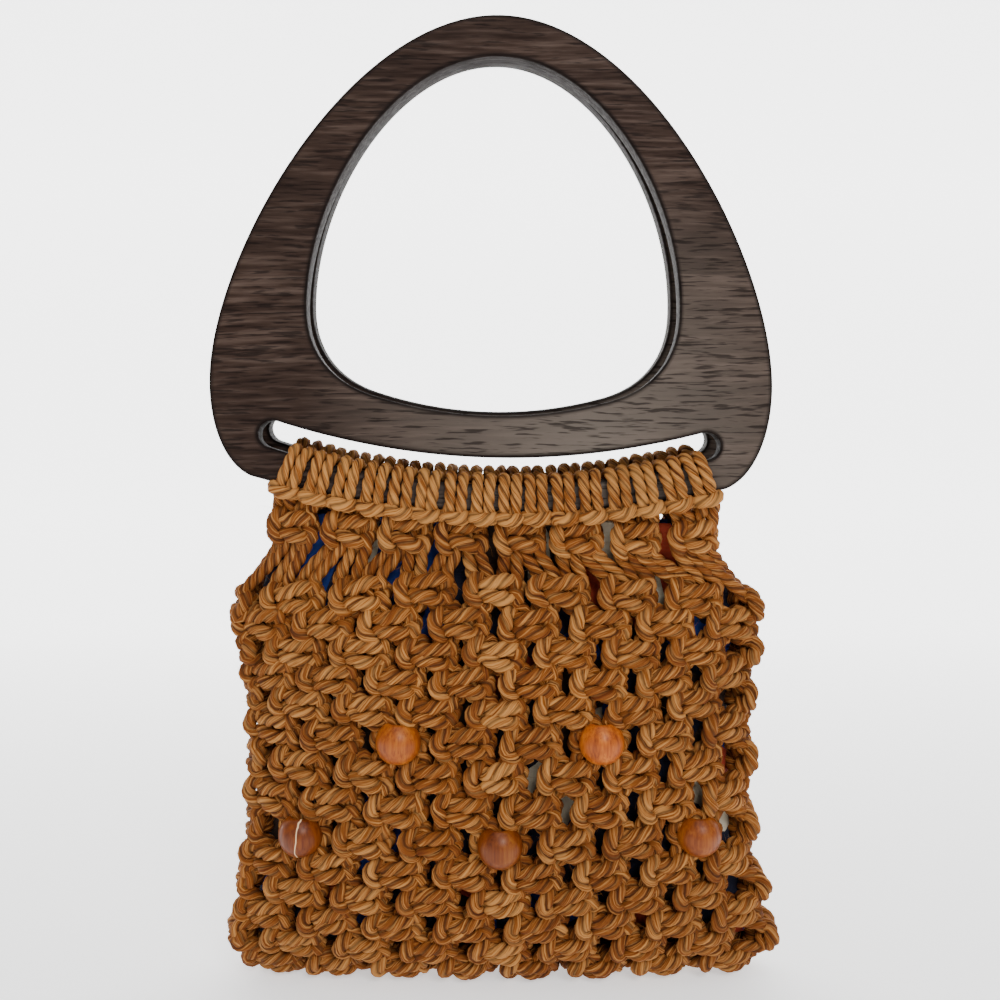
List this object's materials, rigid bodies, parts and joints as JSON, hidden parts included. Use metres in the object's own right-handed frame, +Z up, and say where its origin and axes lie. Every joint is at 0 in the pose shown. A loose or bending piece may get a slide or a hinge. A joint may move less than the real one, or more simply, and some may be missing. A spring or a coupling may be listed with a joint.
{
  "type": "wooden handle bag",
  "caption": "Handbag with twin hoop handles of dark wood, a hollow body of knotted jute net with wooden beads, and a printed cloth lining.",
  "frame": {"origin": "top of the two hand openings, midway between the handles, where the bag hangs", "axes": "+Z up along the bag, +Y from the beaded front to the back, +X to the right of the front"},
  "size_m": [0.2566, 0.0755, 0.4339],
  "materials": {
    "handle_wood": "dark stained, oiled",
    "jute_cord": "twisted natural jute",
    "bead_wood": "varnished",
    "lining_cloth": "printed cotton"
  },
  "bodies": {
    "root": {"front_handle": "handle_wood", "back_handle": "handle_wood", "front_mounting_knots": "jute_cord", "back_mounting_knots": "jute_cord", "front_net": "jute_cord", "back_net": "jute_cord", "upper_left_bead": "bead_wood", "upper_right_bead": "bead_wood", "lower_left_bead": "bead_wood", "lower_middle_bead": "bead_wood", "lower_right_bead": "bead_wood", "lining": "lining_cloth"}
  },
  "joints": []
}
